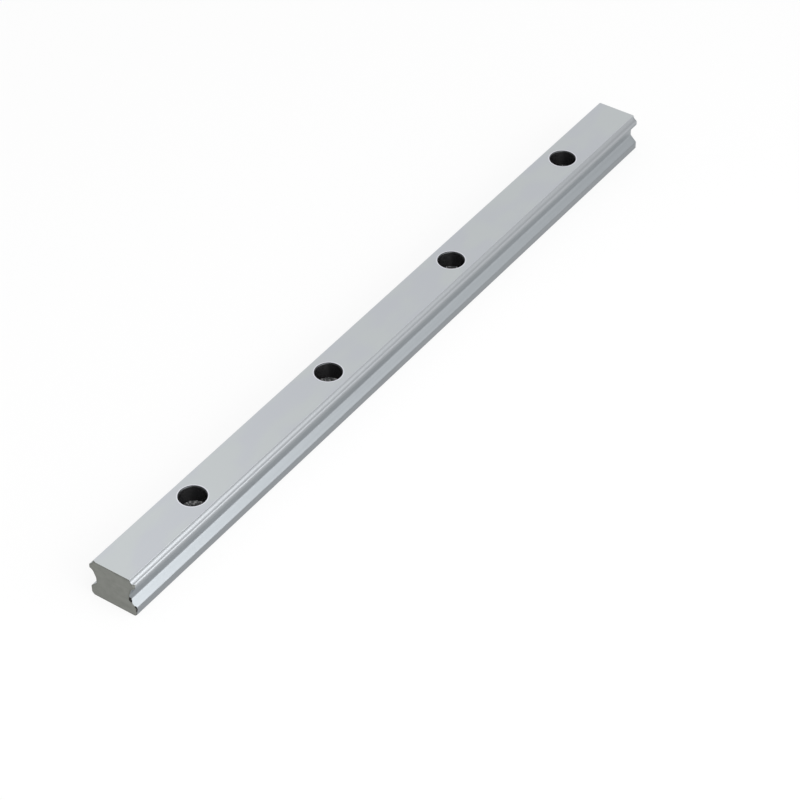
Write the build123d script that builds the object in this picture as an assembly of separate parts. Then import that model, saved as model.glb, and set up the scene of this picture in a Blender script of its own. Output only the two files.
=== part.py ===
from build123d import *
import math
import os

# A low-profile linear guide rail: one steel bar with two ball grooves along each side of its
# head, and counterbored holes for the screws that hold it down.
# The frame: millimetres, +X along the bar, +Z up, and the origin in the middle of its base.

# The head, which the balls of the carriage run on
rail_height = 12.5
head_width = 14.8
top_width = 12.2  # the flat strip on top, between the two upper grooves
groove_radius = 1.65  # a little over that of the balls
upper_groove_depth = 1.2  # from the top strip down to the groove's foot
shoulder_inset = 0.38  # from the side of the head in to the upper groove's foot
shoulder_height = 0.9  # the rounded shoulder between that foot and the side of the head
land_height = 0.85  # the upright side of the head
lower_groove_width = 1.35
lower_groove_height = 1.35

# The neck and the foot
neck_width = 11.0
relief_height = 1.3  # the slope from the lower groove's foot in to the neck
foot_width = 15.0
foot_side_height = 3.0  # with its bevel
foot_slope_angle = 44.0  # above level
foot_bevel = 0.75
foot_rounding = 0.4  # where the foot's slope meets its side, and the neck

# The screw holes
hole_count = 4
hole_pitch = 60.0
first_hole_to_end = 33.4
last_hole_to_end = 31.6
hole_diameter = 4.5
counterbore_diameter = 7.5
counterbore_depth = 5.3
mouth_chamfer = 0.25

# Places that follow from the sizes above
rail_length = first_hole_to_end + (hole_count - 1) * hole_pitch + last_hole_to_end
near_end_x = -rail_length / 2
first_hole_x = near_end_x + first_hole_to_end


def half_section():
    """The outline of the +Y half of the section, drawn with x across and y up."""
    # the foot and the neck, from the middle of the base outwards and up
    foot_side = foot_width / 2
    neck_side = neck_width / 2
    slope_top = foot_side_height + (foot_side - neck_side) * math.tan(math.radians(foot_slope_angle))

    # the head, from its top edge outwards and down
    top_edge = (top_width / 2, rail_height)
    head_side = head_width / 2
    upper_groove_foot = (head_side - shoulder_inset, rail_height - upper_groove_depth)
    land_top = (head_side, upper_groove_foot[1] - shoulder_height)
    land_foot = (head_side, land_top[1] - land_height)
    lower_groove_foot = (head_side - lower_groove_width, land_foot[1] - lower_groove_height)
    neck_top = (neck_side, lower_groove_foot[1] - relief_height)

    with BuildSketch() as half:
        with BuildLine():
            FilletPolyline(
                neck_top,
                (neck_side, slope_top),
                (foot_side, foot_side_height),
                (foot_side, foot_bevel),
                radius=[foot_rounding, foot_rounding],
            )
            Polyline(
                (foot_side, foot_bevel),
                (foot_side - foot_bevel, 0),
                (0, 0),
                (0, rail_height),
                top_edge,
            )
            # a minus sign turns the arc's hollow side outwards
            RadiusArc(top_edge, upper_groove_foot, -groove_radius)
            TangentArc(land_top, upper_groove_foot, tangent=(0, 1))
            Line(land_top, land_foot)
            RadiusArc(land_foot, lower_groove_foot, -groove_radius)
            Line(lower_groove_foot, neck_top)
        make_face()
    return half.sketch


def rail_bar():
    """The plain bar: both halves of the section, run along X from the near end."""
    half = half_section()
    section = half + mirror(half, about=Plane.YZ)
    # the section's x axis lies along +Y here, its y axis along +Z, and the bar runs along +X
    start = Plane(origin=(near_end_x, 0, 0), x_dir=(0, 1, 0), z_dir=(1, 0, 0))
    return extrude(start * section, amount=rail_length)


def screw_hole():
    """What one screw takes out of the bar: shank hole, counterbore and the mouth's chamfer."""
    from_below = (Align.CENTER, Align.CENTER, Align.MIN)
    shank = Cylinder(hole_diameter / 2, rail_height, align=from_below)
    counterbore = Cylinder(counterbore_diameter / 2, counterbore_depth, align=from_below)
    mouth = Cone(
        bottom_radius=counterbore_diameter / 2,
        top_radius=counterbore_diameter / 2 + mouth_chamfer,
        height=mouth_chamfer,
        align=from_below,
    )
    return (
        shank
        + Pos(0, 0, rail_height - counterbore_depth) * counterbore
        + Pos(0, 0, rail_height - mouth_chamfer) * mouth
    )


def guide_rail():
    """The finished rail, with its row of screw holes."""
    rail = rail_bar()
    for number in range(hole_count):
        rail -= Pos(first_hole_x + number * hole_pitch, 0, 0) * screw_hole()
    return rail


os.makedirs("parts", exist_ok=True)
export_step(guide_rail(), "parts/guide_rail.step")
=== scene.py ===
import math

import bmesh
import bpy
from mathutils import Matrix, Vector, geometry, noise as random_field


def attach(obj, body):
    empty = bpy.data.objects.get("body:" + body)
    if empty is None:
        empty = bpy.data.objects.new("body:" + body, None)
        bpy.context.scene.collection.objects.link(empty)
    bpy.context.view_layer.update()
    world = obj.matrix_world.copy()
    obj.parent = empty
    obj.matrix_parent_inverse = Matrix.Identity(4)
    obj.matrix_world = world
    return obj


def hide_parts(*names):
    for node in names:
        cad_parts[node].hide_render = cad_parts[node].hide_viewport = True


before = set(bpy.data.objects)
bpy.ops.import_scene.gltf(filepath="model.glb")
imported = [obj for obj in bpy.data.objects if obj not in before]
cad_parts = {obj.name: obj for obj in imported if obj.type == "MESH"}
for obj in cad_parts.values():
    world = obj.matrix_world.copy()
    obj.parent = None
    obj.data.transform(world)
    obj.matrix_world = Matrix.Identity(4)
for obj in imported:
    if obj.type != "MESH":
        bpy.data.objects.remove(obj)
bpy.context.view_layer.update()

# A ground steel guide rail on a white table. Sizes are in millimetres until a mesh is made.
MM = 0.001

# The bar, as in the CAD source, but with the upper groove's foot 0.2 mm lower and 0.06 mm further
# out. A side is measured from the middle of the bar.
RAIL_LENGTH = 245.0
NEAR_END = -RAIL_LENGTH / 2
FAR_END = RAIL_LENGTH / 2
RAIL_HEIGHT = 12.5
TOP_SIDE = 6.1
HEAD_SIDE = 7.4
GROOVE_RADIUS = 1.65
UPPER_GROOVE_DEPTH = 1.4
SHOULDER_INSET = 0.32
SHOULDER_HEIGHT = 0.7
LAND_HEIGHT = 0.85
LOWER_GROOVE_WIDTH = 1.35
LOWER_GROOVE_HEIGHT = 1.35
RELIEF_HEIGHT = 1.3
NECK_SIDE = 5.5
FOOT_SIDE = 7.5
FOOT_SIDE_TOP = 3.0
FOOT_SLOPE = math.radians(44.0)
FOOT_BEVEL = 0.75

# Places on the section that follow from those sizes
UPPER_GROOVE_FOOT = (HEAD_SIDE - SHOULDER_INSET, RAIL_HEIGHT - UPPER_GROOVE_DEPTH)
LAND_TOP = (HEAD_SIDE, UPPER_GROOVE_FOOT[1] - SHOULDER_HEIGHT)
LAND_FOOT = (HEAD_SIDE, LAND_TOP[1] - LAND_HEIGHT)
LOWER_GROOVE_FOOT = (HEAD_SIDE - LOWER_GROOVE_WIDTH, LAND_FOOT[1] - LOWER_GROOVE_HEIGHT)
NECK_TOP = LOWER_GROOVE_FOOT[1] - RELIEF_HEIGHT
FOOT_SLOPE_TOP = FOOT_SIDE_TOP + (FOOT_SIDE - NECK_SIDE) * math.tan(FOOT_SLOPE)

# The cut ends: the near one keeps its sawn edge, the far one is rounded off
EDGE_BREAK = 0.07
FAR_ROUND = 0.5
BURR_REACH = 1.2  # no mark of the saw goes further along the bar

# The screw holes, as in the CAD source
HOLE_COUNT = 4
HOLE_PITCH = 60.0
FIRST_HOLE = NEAR_END + 33.4
SHANK_RADIUS = 2.25
BORE_RADIUS = 3.75
BORE_FLOOR = RAIL_HEIGHT - 5.3
MOUTH_CHAMFER = 0.25
MOUTH_RADIUS = BORE_RADIUS + MOUTH_CHAMFER

# The finishes, in the order of the rail's materials
GROUND, SAWN, BORED, SHADED_EDGE = range(4)

# The mesh attribute that holds how far a point of a cut end is from the section's edge
FROM_EDGE = "from_edge"

# A face or a point nearer to a plane than this lies in it
IN_PLANE = 0.001

# Points nearer to each other than this are one
SAME_POINT = 0.0001


# Outlines

def groove(start, end, steps=12):
    """A ball groove as points on an arc from start up to end, with its centre outside the bar."""
    start, end = Vector(start), Vector(end)
    chord = end - start
    outwards = Vector((chord.y, -chord.x)).normalized()
    centre = (start + end) / 2 + outwards * math.sqrt(GROOVE_RADIUS**2 - chord.length_squared / 4)
    first, last = start - centre, end - centre
    turn = math.atan2(first.x * last.y - first.y * last.x, first.dot(last))
    spokes = (Matrix.Rotation(turn * i / steps, 2) @ first for i in range(steps + 1))
    return [tuple(centre + spoke) for spoke in spokes]


def shoulder(steps=8):
    """The rounded shoulder, upright where it leaves the land, up to the upper groove's foot."""
    radius = (SHOULDER_INSET**2 + SHOULDER_HEIGHT**2) / (2 * SHOULDER_INSET)
    top = math.atan2(SHOULDER_HEIGHT, radius - SHOULDER_INSET)
    angles = (top * i / steps for i in range(steps + 1))
    return [
        (HEAD_SIDE - radius + radius * math.cos(a), LAND_TOP[1] + radius * math.sin(a))
        for a in angles
    ]


def trimmed(run, cut, from_end):
    """A run of points, shortened by the length cut at its start or at its end."""
    points = [Vector(p) for p in (reversed(run) if from_end else run)]
    left = cut
    while len(points) > 2 and (points[1] - points[0]).length <= left:
        left -= (points[1] - points[0]).length
        points.pop(0)
    points[0] = points[0] + (points[1] - points[0]).normalized() * left
    return list(reversed(points)) if from_end else points


def eased(runs, cuts, steps=4):
    """One line through all the runs, with a small round of the length given at each corner."""
    line = []
    shortened = [list(map(Vector, run)) for run in runs]
    for i, cut in enumerate(cuts):
        shortened[i] = trimmed(shortened[i], cut, True)
        shortened[i + 1] = trimmed(shortened[i + 1], cut, False)
    for i, run in enumerate(shortened):
        line += run
        if i < len(cuts):
            corner, start, end = Vector(runs[i][-1]), run[-1], shortened[i + 1][0]
            for k in range(1, steps):
                t = k / steps
                line.append(start * (1 - t) ** 2 + corner * 2 * t * (1 - t) + end * t**2)
    return line


def divided(line, shortest, longest):
    """The same line, with points dropped or added so that each step's length is in the range."""
    points = [line[0]]
    for end in line[1:]:
        start = points[-1]
        if (end - start).length < shortest:
            continue
        steps = math.ceil((end - start).length / longest)
        points += [start.lerp(end, i / steps) for i in range(1, steps + 1)]
    return points


def section():
    """The bar's section as points (y, z), anticlockwise, with its sharp edges just broken."""
    # each run goes with how much of it the round at its end takes away
    runs_and_cuts = [
        ([(0, 0), (FOOT_SIDE - FOOT_BEVEL, 0)], 0.12),
        ([(FOOT_SIDE - FOOT_BEVEL, 0), (FOOT_SIDE, FOOT_BEVEL)], 0.15),
        ([(FOOT_SIDE, FOOT_BEVEL), (FOOT_SIDE, FOOT_SIDE_TOP)], 0.30),
        ([(FOOT_SIDE, FOOT_SIDE_TOP), (NECK_SIDE, FOOT_SLOPE_TOP)], 0.35),
        ([(NECK_SIDE, FOOT_SLOPE_TOP), (NECK_SIDE, NECK_TOP)], 0.4),
        ([(NECK_SIDE, NECK_TOP), LOWER_GROOVE_FOOT], 0.3),
        (groove(LOWER_GROOVE_FOOT, LAND_FOOT), 0.07),
        ([LAND_FOOT, LAND_TOP], 0.05),
        (shoulder(), 0.10),
        (groove(UPPER_GROOVE_FOOT, (TOP_SIDE, RAIL_HEIGHT)), 0.06),
        ([(TOP_SIDE, RAIL_HEIGHT), (0, RAIL_HEIGHT)], 0),
    ]
    runs = [run for run, cut in runs_and_cuts]
    cuts = [cut for run, cut in runs_and_cuts[:-1]]
    half = divided(eased(runs, cuts), shortest=0.01, longest=0.4)
    other = [Vector((-p.x, p.y)) for p in reversed(half)]
    return half + other[1:-1]


def inward_ways(outline, reach=0.6):
    """For each point the way into the section, averaged so that sharp corners stay in order."""
    edges = []
    for i, point in enumerate(outline):
        along = outline[(i + 1) % len(outline)] - point
        edges.append((point + along / 2, Vector((-along.y, along.x))))
    ways = []
    for point in outline:
        total = Vector((0, 0))
        for middle, inward in edges:
            total += inward * math.exp(-((middle - point).length / reach) ** 2)
        ways.append(total.normalized())
    return ways


def inset(outline, depths):
    """The same points, each moved into the section by its own depth."""
    moves = zip(outline, inward_ways(outline), depths)
    return [point + way * depth for point, way, depth in moves]


def raggedness(y, z):
    """How rough the saw left the near end's edge at this point of the section, from 0 to 1."""
    # the middle of each rough stretch, how far it reaches and how rough it is
    patches = (
        ((-5.7, 5.1), 0.6, 1.0),
        ((-7.4, 2.6), 0.8, 0.9),
        ((-7.3, 10.0), 1.0, 1.0),
        ((6.2, 12.4), 0.7, 0.5),
    )
    rough = 0.0
    for (at_y, at_z), size, strength in patches:
        distance = math.hypot(y - at_y, z - at_z)
        rough = max(rough, strength * min(1.0, max(0.0, 1.6 - distance / size)))
    return rough


# Meshes

def mesh_object(name, bm):
    """A new object from a bmesh in millimetres, its place in its mesh."""
    bmesh.ops.scale(bm, vec=(MM, MM, MM), verts=bm.verts)
    mesh = bpy.data.meshes.new(name)
    bm.to_mesh(mesh)
    bm.free()
    made = bpy.data.objects.new(name, mesh)
    bpy.context.scene.collection.objects.link(made)
    return made


def close_end(bm, ring, flip):
    """Fills a ring with a net of small triangles, fine enough to carry the painted shade along the
    cut face's edge.
    """
    x = ring[0].co.x
    edge = [Vector((v.co.y, v.co.z)) for v in ring]
    spacing = 0.45
    clear = 0.25
    columns = int(FOOT_SIDE / spacing)
    inner = []
    for row in range(1, int(RAIL_HEIGHT / spacing)):
        for column in range(-columns, columns + 1):
            point = Vector(((column + row % 2 / 2) * spacing, row * spacing))
            if min((point - other).length for other in edge) > clear:
                inner.append(point)
    only_inside = 1
    points, _, faces, origins, _, _ = geometry.delaunay_2d_cdt(
        edge + inner, [], [list(range(len(edge)))], only_inside, SAME_POINT
    )
    corners = []
    for point, origin in zip(points, origins):
        on_edge = [i for i in origin if i < len(edge)]
        corners.append(ring[on_edge[0]] if on_edge else bm.verts.new((x, point.x, point.y)))
    for face in faces:
        bm.faces.new([corners[i] for i in (reversed(face) if flip else face)])


def sawn_edge(outline):
    """How deep and how wide the near end's edge is broken, at each point of the outline."""
    waves = 1.7  # in a millimetre
    seed = 3.1
    depths = []
    widths = []
    for point in outline:
        rough = raggedness(point.x, point.y)
        place = Vector((point.x * waves, point.y * waves, seed))
        wander = 0.5 + 0.5 * random_field.noise(place)
        depths.append(EDGE_BREAK + rough * (0.04 + 0.30 * wander))
        widths.append(EDGE_BREAK + rough * (0.10 + 1.5 * wander**2))
    return depths, widths


def plain_bar():
    """The bar before drilling: rings of the section from end to end, closed by the cut faces."""
    bm = bmesh.new()
    outline = section()
    near_depths, near_widths = sawn_edge(outline)
    plain_start = 1.5  # how far from each end the plain part of the bar starts
    plain_length = RAIL_LENGTH - 2 * plain_start
    steps = 60
    rings = []

    def add_ring(xs, points):
        rings.append([bm.verts.new((x, p.x, p.y)) for x, p in zip(xs, points)])

    add_ring([NEAR_END] * len(outline), inset(outline, near_depths))
    add_ring([NEAR_END + width for width in near_widths], outline)
    for i in range(steps + 1):
        x = FAR_END - plain_start - plain_length * (1 - i / steps)
        add_ring([x] * len(outline), outline)
    for angle in (0, 30, 60, 90):
        x = FAR_END - FAR_ROUND * (1 - math.sin(math.radians(angle)))
        depth = FAR_ROUND * (1 - math.cos(math.radians(angle)))
        add_ring([x] * len(outline), inset(outline, [depth] * len(outline)))
    for ring, following in zip(rings, rings[1:]):
        for i in range(len(ring)):
            k = (i + 1) % len(ring)
            bm.faces.new((ring[i], following[i], following[k], ring[k]))
    close_end(bm, rings[0], True)
    close_end(bm, rings[-1], False)
    bmesh.ops.recalc_face_normals(bm, faces=bm.faces)
    return mesh_object("guide_rail_ground", bm)


def hole_cutter():
    """What one screw hole takes out, turned about Z at x = 0, y = 0."""
    bore_edge = 0.1
    past = 1.0  # how far the cutter stands out of the bar
    # from the base up past the screw's seat to the rounded lip of the mouth
    profile = [
        (0, -past),
        (SHANK_RADIUS + bore_edge, -past),
        (SHANK_RADIUS + bore_edge, 0),
        (SHANK_RADIUS, bore_edge),
        (SHANK_RADIUS, BORE_FLOOR - 0.08),
        (SHANK_RADIUS + 0.08, BORE_FLOOR),
        (BORE_RADIUS - 0.12, BORE_FLOOR),
        (BORE_RADIUS - 0.03, BORE_FLOOR + 0.03),
        (BORE_RADIUS, BORE_FLOOR + 0.12),
        (BORE_RADIUS, RAIL_HEIGHT - 0.28),
        (BORE_RADIUS + 0.01, RAIL_HEIGHT - 0.245),
        (BORE_RADIUS + 0.04, RAIL_HEIGHT - 0.20),
        (MOUTH_RADIUS - 0.05, RAIL_HEIGHT - 0.03),
        (MOUTH_RADIUS, RAIL_HEIGHT - 0.005),
        (MOUTH_RADIUS + 0.05, RAIL_HEIGHT),
        (MOUTH_RADIUS + 0.25, RAIL_HEIGHT + 0.02),
        (MOUTH_RADIUS + 0.25, RAIL_HEIGHT + past),
        (0, RAIL_HEIGHT + past),
    ]
    bm = bmesh.new()
    points = [bm.verts.new((r, 0, z)) for r, z in profile]
    edges = [bm.edges.new(pair) for pair in zip(points, points[1:])]
    bmesh.ops.spin(
        bm, geom=points + edges, cent=(0, 0, 0), axis=(0, 0, 1), angle=2 * math.pi, steps=96
    )
    bmesh.ops.remove_doubles(bm, verts=bm.verts, dist=SAME_POINT)
    bmesh.ops.recalc_face_normals(bm, faces=bm.faces)
    return mesh_object("hole_cutter", bm)


# Node trees

class Tree:
    """A node tree that is filled by one method for every kind of node."""

    def __init__(self, tree):
        self.tree = tree

    def node(self, kind, settings=None, values=None):
        """A node of the kind, its settings made first, then its sockets' values and links."""
        made = self.tree.nodes.new(kind)
        for name, value in (settings or {}).items():
            setattr(made, name, value)
        for key, value in (values or {}).items():
            socket = made.inputs[key]
            if isinstance(value, Value):
                self.tree.links.new(value.socket, socket)
            elif isinstance(value, bpy.types.NodeSocket):
                self.tree.links.new(value, socket)
            else:
                socket.default_value = value
        return made


class Value:
    """A socket that takes part in sums: each sum adds its Math node."""

    def __init__(self, maker, socket):
        self.maker = maker
        self.socket = socket

    def math(self, operation, *others):
        values = dict(enumerate((self, *others)))
        made = self.maker.node("ShaderNodeMath", {"operation": operation}, values)
        return Value(self.maker, made.outputs[0])

    def reflected(self, operation, other):
        made = self.maker.node("ShaderNodeMath", {"operation": operation}, {0: other, 1: self})
        return Value(self.maker, made.outputs[0])

    def __add__(self, other):
        return self.math("ADD", other)

    def __radd__(self, other):
        return self.reflected("ADD", other)

    def __sub__(self, other):
        return self.math("SUBTRACT", other)

    def __rsub__(self, other):
        return self.reflected("SUBTRACT", other)

    def __mul__(self, other):
        return self.math("MULTIPLY", other)

    def __rmul__(self, other):
        return self.reflected("MULTIPLY", other)

    def __truediv__(self, other):
        return self.math("DIVIDE", other)

    def __abs__(self):
        return self.math("ABSOLUTE")


# The row of holes

def screw_hole_row():
    """A Geometry Nodes tree that drills a row of holes along X with copies of a cutter."""
    tree = bpy.data.node_groups.new("screw hole row", "GeometryNodeTree")
    sockets = tree.interface
    for name, kind in (
        ("Bar", "NodeSocketGeometry"),
        ("Cutter", "NodeSocketObject"),
        ("Hole count", "NodeSocketInt"),
        ("First hole", "NodeSocketFloat"),
        ("Hole pitch", "NodeSocketFloat"),
        ("Steel", "NodeSocketMaterial"),
    ):
        sockets.new_socket(name, in_out="INPUT", socket_type=kind)
    sockets.new_socket("Rail", in_out="OUTPUT", socket_type="NodeSocketGeometry")
    maker = Tree(tree)
    given = maker.node("NodeGroupInput").outputs
    start = maker.node("ShaderNodeCombineXYZ", values={0: given["First hole"]})
    step = maker.node("ShaderNodeCombineXYZ", values={0: given["Hole pitch"]})
    row = maker.node(
        "GeometryNodeMeshLine",
        {"mode": "OFFSET"},
        {
            "Count": given["Hole count"],
            "Start Location": start.outputs[0],
            "Offset": step.outputs[0],
        },
    )
    cutter = maker.node("GeometryNodeObjectInfo", values={"Object": given["Cutter"]})
    copies = maker.node(
        "GeometryNodeInstanceOnPoints",
        values={"Points": row.outputs[0], "Instance": cutter.outputs["Geometry"]},
    )
    real_copies = maker.node("GeometryNodeRealizeInstances", values={0: copies.outputs[0]})
    drilled = maker.node(
        "GeometryNodeMeshBoolean",
        {"operation": "DIFFERENCE", "solver": "EXACT"},
        {"Mesh 1": given["Bar"], "Mesh 2": real_copies.outputs[0]},
    )
    real = maker.node("GeometryNodeRealizeInstances", values={0: drilled.outputs[0]})
    coloured = maker.node(
        "GeometryNodeSetMaterial", values={"Geometry": real.outputs[0], "Material": given["Steel"]}
    )
    maker.node("NodeGroupOutput", values={0: coloured.outputs[0]})
    return tree


def run_tree(piece, tree, values):
    """The piece's own geometry, put through the tree and made a plain mesh again."""
    modifier = piece.modifiers.new(tree.name, "NODES")
    modifier.node_group = tree
    names = {item.name: item.identifier for item in tree.interface.items_tree}
    for name, value in values.items():
        modifier[names[name]] = value
    bpy.context.view_layer.update()
    evaluated = piece.evaluated_get(bpy.context.evaluated_depsgraph_get())
    mesh = bpy.data.meshes.new_from_object(evaluated)
    piece.modifiers.remove(modifier)
    old, piece.data = piece.data, mesh
    mesh.name = old.name
    bpy.data.meshes.remove(old)


# Steel

def new_material(name):
    """An empty material, and the maker of its nodes."""
    material = bpy.data.materials.new(name)
    material.use_nodes = True
    material.node_tree.nodes.clear()
    return material, Tree(material.node_tree)


def finish_material(maker, shader):
    """Puts the shader on the surface."""
    maker.node("ShaderNodeOutputMaterial", values={"Surface": shader.outputs[0]})


def millimetres(maker):
    """The point being shaded, in millimetres, as a vector and as its three values."""
    place = maker.node("ShaderNodeTexCoord").outputs["Object"]
    scaled = maker.node(
        "ShaderNodeVectorMath", {"operation": "SCALE"}, {0: place, "Scale": 1 / MM}
    ).outputs[0]
    parts = maker.node("ShaderNodeSeparateXYZ", values={0: scaled}).outputs
    return scaled, *(Value(maker, part) for part in parts)


def ramp(maker, value, start, end):
    """Rises smoothly from 0 at start to 1 at end, or falls if end is the lower one."""
    made = maker.node(
        "ShaderNodeMapRange",
        {"interpolation_type": "SMOOTHSTEP"},
        {"Value": value, "From Min": start, "From Max": end},
    )
    return Value(maker, made.outputs[0])


def noise(maker, place, stretch, detail=2.0):
    """Noise from 0 to 1, with spots about as long and wide as stretch says, in millimetres."""
    scaled = maker.node("ShaderNodeVectorMath", {"operation": "DIVIDE"}, {0: place, 1: stretch})
    made = maker.node(
        "ShaderNodeTexNoise",
        values={"Vector": scaled.outputs[0], "Scale": 1.0, "Detail": detail, "Roughness": 0.5},
    )
    return Value(maker, made.outputs[0])


def blend_colours(maker, share, first, second):
    """The first colour where share is 0 and the second where it is 1."""
    made = maker.node(
        "ShaderNodeMix", {"data_type": "RGBA"}, {"Factor": share, 6: first, 7: second}
    )
    return made.outputs[2]


def ground_steel():
    """Steel ground along the bar, rougher on the upright sides and the foot, which are coloured
    darker than the top as painted shade.
    """
    material, maker = new_material("ground_steel")
    place, x, y, z = millimetres(maker)
    # where on the bar
    top = ramp(maker, z, RAIL_HEIGHT - 0.10, RAIL_HEIGHT - 0.01)
    below = ramp(maker, z, LAND_TOP[1] + 0.05, LAND_TOP[1] - 0.15)
    grooves = (1.0 - top) * (1.0 - below)
    under_neck = ramp(maker, z, FOOT_SLOPE_TOP + 0.12, FOOT_SLOPE_TOP - 0.08)
    under_slope = ramp(maker, z, FOOT_SIDE_TOP + 0.25, FOOT_SIDE_TOP - 0.05)
    along = (x - (FIRST_HOLE - HOLE_PITCH / 2)).math("FLOORED_MODULO", HOLE_PITCH) - HOLE_PITCH / 2
    from_hole = (along * along + y * y).math("SQRT")
    # painted highlight: a pale ring on the top round the mouth of each hole
    rim_highlight = ramp(maker, from_hole, MOUTH_RADIUS + 0.45, MOUTH_RADIUS + 0.2)
    # marks of the grinding and faint clouds of tint
    streaks = noise(maker, place, (45.0, 0.5, 0.5), 3.0)
    scratches = noise(maker, place, (12.0, 0.09, 0.09))
    clouds = ramp(maker, noise(maker, place, (14.0, 7.0, 7.0), 1.0), 0.36, 0.64)
    # colours; below the top they are painted shade: the upright neck, land and foot much darker
    # than the top, the slope and the grooves a little less so
    flat = blend_colours(maker, clouds, (0.618, 0.643, 0.68, 1), (0.631, 0.664, 0.675, 1))
    # the pale ring of painted highlight round each hole
    flat = blend_colours(maker, rim_highlight, flat, (0.85, 0.86, 0.92, 1))
    # painted shade: darker colours for the upright neck and land
    shaded_uprights = blend_colours(maker, streaks, (0.30, 0.321, 0.338, 1), (0.342, 0.365, 0.384, 1))
    slope = blend_colours(maker, streaks, (0.34, 0.364, 0.384, 1), (0.387, 0.414, 0.436, 1))
    sides = blend_colours(maker, under_neck, shaded_uprights, slope)
    # painted shade: the foot's upright side darkest of all
    sides = blend_colours(maker, under_slope, sides, (0.28, 0.298, 0.314, 1))
    sides = blend_colours(maker, grooves, sides, (0.405, 0.424, 0.443, 1))
    bump = maker.node(
        "ShaderNodeBump",
        values={"Height": scratches, "Distance": 0.000003, "Strength": 1.0},
    )
    shader = maker.node(
        "ShaderNodeBsdfPrincipled",
        values={
            "Base Color": blend_colours(maker, top, sides, flat),
            "Metallic": 1.0,
            "Roughness": 0.31 + 0.05 * grooves + 0.07 * below + (streaks - 0.5) * 0.08,
            "Normal": bump.outputs[0],
        },
    )
    finish_material(maker, shader)
    return material


def sawn_steel():
    """The dull face that the saw left, with painted shade darkening it along its edge."""
    material, maker = new_material("sawn_steel")
    place = millimetres(maker)[0]
    from_edge = maker.node("ShaderNodeAttribute", {"attribute_name": FROM_EDGE}).outputs["Fac"]
    # painted shade: the cut face darker towards the section's outline
    edge_shade = ramp(maker, from_edge, 0.6, 0.0)
    mottle = noise(maker, place, (2.5, 2.5, 1.6), 3.0)
    marks = noise(maker, place, (1.0, 4.0, 0.12))
    shade = 0.15 + 0.7 * mottle + 0.25 * (marks - 0.5) - 0.35 * edge_shade
    bump = maker.node(
        "ShaderNodeBump", values={"Height": marks, "Distance": 0.00001, "Strength": 1.0}
    )
    shader = maker.node(
        "ShaderNodeBsdfPrincipled",
        values={
            "Base Color": blend_colours(
                maker, shade, (0.158, 0.163, 0.149, 1), (0.294, 0.302, 0.278, 1)
            ),
            "Metallic": 0.7,
            "Roughness": 0.6,
            "Normal": bump.outputs[0],
        },
    )
    finish_material(maker, shader)
    return material


def scorched_steel():
    """The broken edge where the saw came out of the bar, painted black as shade."""
    material, maker = new_material("scorched_steel")
    place = millimetres(maker)[0]
    bare = ramp(maker, noise(maker, place, (0.5, 0.5, 0.5), 3.0), 0.45, 0.65)
    shader = maker.node(
        "ShaderNodeBsdfPrincipled",
        values={
            "Base Color": blend_colours(
                maker, bare, (0.004, 0.004, 0.004, 1), (0.06, 0.058, 0.053, 1)
            ),
            "Metallic": 0.0,
            "Roughness": 0.6,
            "Specular IOR Level": 0.2,
        },
    )
    finish_material(maker, shader)
    return material


def bored_steel():
    """The screw holes: walls painted near black as shade, which keep the rings of the drill, and a
    lighter floor of painted light with pale specks of painted glints.
    """
    material, maker = new_material("bored_steel")
    place, _, _, z = millimetres(maker)
    floor = ramp(maker, z, BORE_FLOOR - 0.15, BORE_FLOOR - 0.05)
    floor = floor * ramp(maker, z, BORE_FLOOR + 0.2, BORE_FLOOR + 0.05)
    mouth = ramp(maker, z, RAIL_HEIGHT - 0.30, RAIL_HEIGHT - 0.24)
    # painted glints: pale specks on the floor of each hole
    glints = ramp(maker, noise(maker, place, (0.7, 0.7, 0.7), 1.0), 0.52, 0.66)
    lit_floor = blend_colours(maker, glints, (0.11, 0.113, 0.115, 1), (0.48, 0.48, 0.48, 1))
    # painted shade: the walls near black; painted light: the floor lighter
    colour = blend_colours(maker, floor, (0.008, 0.008, 0.009, 1), lit_floor)
    colour = blend_colours(maker, mouth, colour, (0.06, 0.063, 0.066, 1))
    drill_feed = 0.12
    rings = abs((z / drill_feed).math("FRACT") - 0.5) * 2.0
    bump = maker.node(
        "ShaderNodeBump",
        values={"Height": rings * rings * (1.0 - mouth) * (1.0 - floor), "Distance": 0.00005},
    )
    shader = maker.node(
        "ShaderNodeBsdfPrincipled",
        values={
            "Base Color": colour,
            "Metallic": mouth,
            "Roughness": 0.18,
            "Specular IOR Level": 0.2,
            "Normal": bump.outputs[0],
        },
    )
    finish_material(maker, shader)
    return material


# The rail

def finish_of(middle, facing):
    """Which finish a face has, by its middle and the way it faces."""
    hole = min(range(HOLE_COUNT), key=lambda n: abs(middle.x - FIRST_HOLE - n * HOLE_PITCH))
    from_axis = math.hypot(middle.x - FIRST_HOLE - hole * HOLE_PITCH, middle.y)
    if abs(middle.x) > FAR_END - IN_PLANE:
        return SAWN
    if from_axis < MOUTH_RADIUS + 0.1 and IN_PLANE < middle.z < RAIL_HEIGHT - IN_PLANE:
        return BORED
    # the broken edge of the near end leans out of the side that it cuts
    if middle.x < NEAR_END + BURR_REACH and facing.x < -0.03:
        # painted shade: the rough stretches low on the broken edge are made black
        in_shade = middle.z < NECK_TOP and raggedness(middle.y, middle.z) > 0.3
        return SHADED_EDGE if in_shade else SAWN
    return GROUND


def measure_ends(mesh):
    """Stores how far each point of the cut ends is from the section's edge."""
    outline = section()
    distances = []
    for vertex in mesh.vertices:
        point = Vector((vertex.co.y, vertex.co.z)) / MM
        on_end = abs(vertex.co.x) / MM > FAR_END - IN_PLANE
        distances.append(min((point - other).length for other in outline) if on_end else 0.0)
    attribute = mesh.attributes.new(FROM_EDGE, "FLOAT", "POINT")
    attribute.data.foreach_set("value", distances)


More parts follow.
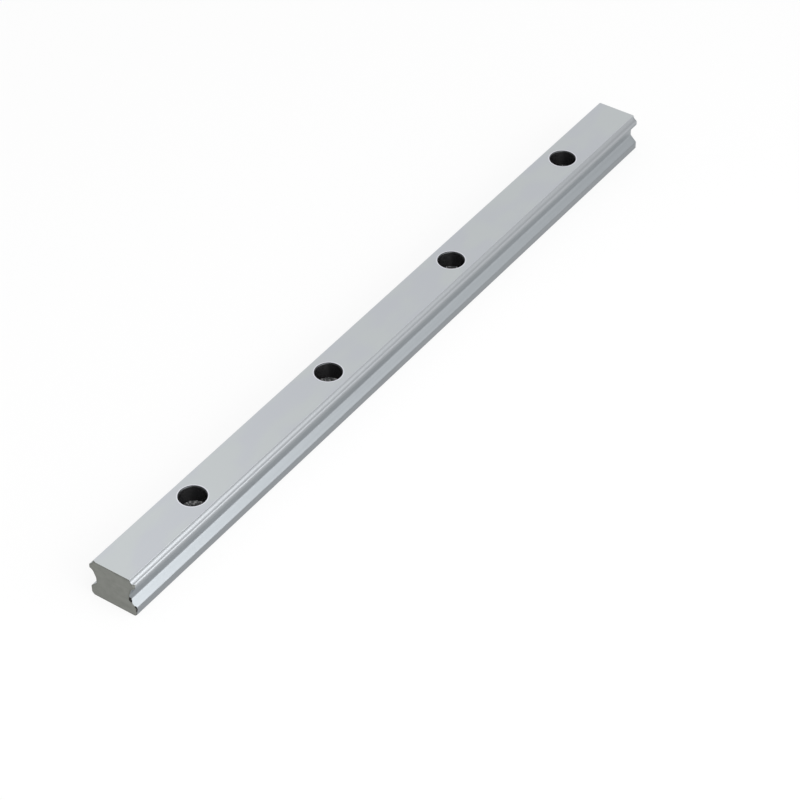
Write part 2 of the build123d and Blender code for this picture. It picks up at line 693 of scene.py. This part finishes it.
def part_finishes(mesh):
    """Makes every edge between two finishes a sharp one, so that neither shades the other."""
    finishes = {}
    for face in mesh.polygons:
        for key in face.edge_keys:
            finishes.setdefault(key, set()).add(face.material_index)
    for edge in mesh.edges:
        if len(finishes[edge.key]) > 1:
            edge.use_edge_sharp = True


def dress_rail():
    """The drilled bar with its four finishes, in place of the CAD's plain one."""
    rail = plain_bar()
    cutter = hole_cutter()
    steel = ground_steel()
    run_tree(
        rail,
        screw_hole_row(),
        {
            "Cutter": cutter,
            "Hole count": HOLE_COUNT,
            "First hole": FIRST_HOLE * MM,
            "Hole pitch": HOLE_PITCH * MM,
            "Steel": steel,
        },
    )
    bpy.data.objects.remove(cutter)
    mesh = rail.data
    mesh.materials.clear()
    for material in (steel, sawn_steel(), bored_steel(), scorched_steel()):
        mesh.materials.append(material)
    for face in mesh.polygons:
        face.use_smooth = True
        face.material_index = finish_of(face.center / MM, face.normal)
    measure_ends(mesh)
    sharp_from = math.radians(40)
    mesh.set_sharp_from_angle(angle=sharp_from)
    part_finishes(mesh)
    weighted = rail.modifiers.new("weighted normals", "WEIGHTED_NORMAL")
    weighted.keep_sharp = True
    weighted.weight = 100
    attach(rail, "root")
    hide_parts("guide_rail")


# The table, the light and the camera

def white_table():
    """A wide sheet of paper that is nearly white to the camera and in every reflection."""
    reach = 3000
    own_light = 0.85  # the rest is left to the paper, so that the rail keeps its shadow
    bm = bmesh.new()
    bmesh.ops.create_grid(bm, x_segments=1, y_segments=1, size=reach)
    table = mesh_object("white_table", bm)
    material, maker = new_material("white_paper")
    path = maker.node("ShaderNodeLightPath").outputs
    seen = Value(maker, path["Is Camera Ray"]) + Value(maker, path["Is Glossy Ray"])
    seen = seen + Value(maker, path["Is Transmission Ray"])
    paper = maker.node("ShaderNodeBsdfDiffuse", values={"Color": (0.9, 0.9, 0.9, 1)})
    white = maker.node("ShaderNodeEmission", values={"Color": (1, 1, 1, 1), "Strength": 1.0})
    share = seen.math("MINIMUM", 1.0) * own_light
    mixed = maker.node(
        "ShaderNodeMixShader", values={0: share, 1: paper.outputs[0], 2: white.outputs[0]}
    )
    finish_material(maker, mixed)
    table.data.materials.append(material)


def soft_box(name, azimuth, elevation, power, target_x, distance, size):
    """A square lamp, aimed at a point of the rail's base line: degrees, watts and metres."""
    light = bpy.data.lights.new(name, "AREA")
    light.shape = "SQUARE"
    light.size = size
    light.energy = power
    lamp = bpy.data.objects.new(name, light)
    turn, rise = math.radians(azimuth), math.radians(elevation)
    level = math.cos(rise)
    away = Vector((level * math.cos(turn), level * math.sin(turn), math.sin(rise)))
    lamp.location = Vector((target_x, 0, 0)) + away * distance
    lamp.rotation_euler = (-away).to_track_quat("-Z", "Y").to_euler()
    bpy.context.scene.collection.objects.link(lamp)


def lights():
    """An even studio, wide boxes round the whole rail, and smaller ones close to its near end."""
    world = bpy.data.worlds.new("studio")
    world.use_nodes = True
    background = world.node_tree.nodes["Background"]
    background.inputs["Color"].default_value = (1, 1, 1, 1)
    background.inputs["Strength"].default_value = 0.768
    bpy.context.scene.world = world
    for name, azimuth, elevation, power in (
        ("front box", -120, 25, 0.45),
        ("first right box", -90, 25, 0.45),
        ("second right box", -60, 25, 0.45),
        ("high right box", -105, 58, 0.45),
        ("high far box", 75, 52, 0.19),
    ):
        soft_box(name, azimuth, elevation, power, target_x=0, distance=0.8, size=0.6)
    for name, azimuth, elevation, power in (
        ("first near box", -100, 22, 0.33),
        ("second near box", -70, 22, 0.33),
        ("high near box", -100, 50, 0.33),
    ):
        soft_box(name, azimuth, elevation, power, target_x=-0.12, distance=0.4, size=0.28)


def photo_camera():
    """The camera of the photo, as measured from the rims of the holes and the bar's edges."""
    camera = bpy.data.cameras.new("camera")
    camera.sensor_width = 36
    camera.lens = 117.94
    holder = bpy.data.objects.new("camera", camera)
    heading = Matrix.Rotation(math.radians(-54.2704), 4, "Z")
    tilt = Matrix.Rotation(math.radians(48.6363), 4, "X")
    roll = Matrix.Rotation(math.radians(-0.9579), 4, "Z")
    place = Matrix.Translation((-0.46161, -0.33523, 0.48328))
    holder.matrix_world = place @ heading @ tilt @ roll
    bpy.context.scene.collection.objects.link(holder)
    bpy.context.scene.camera = holder


dress_rail()
white_table()
lights()
photo_camera()
bpy.context.scene.view_settings.view_transform = "Standard"
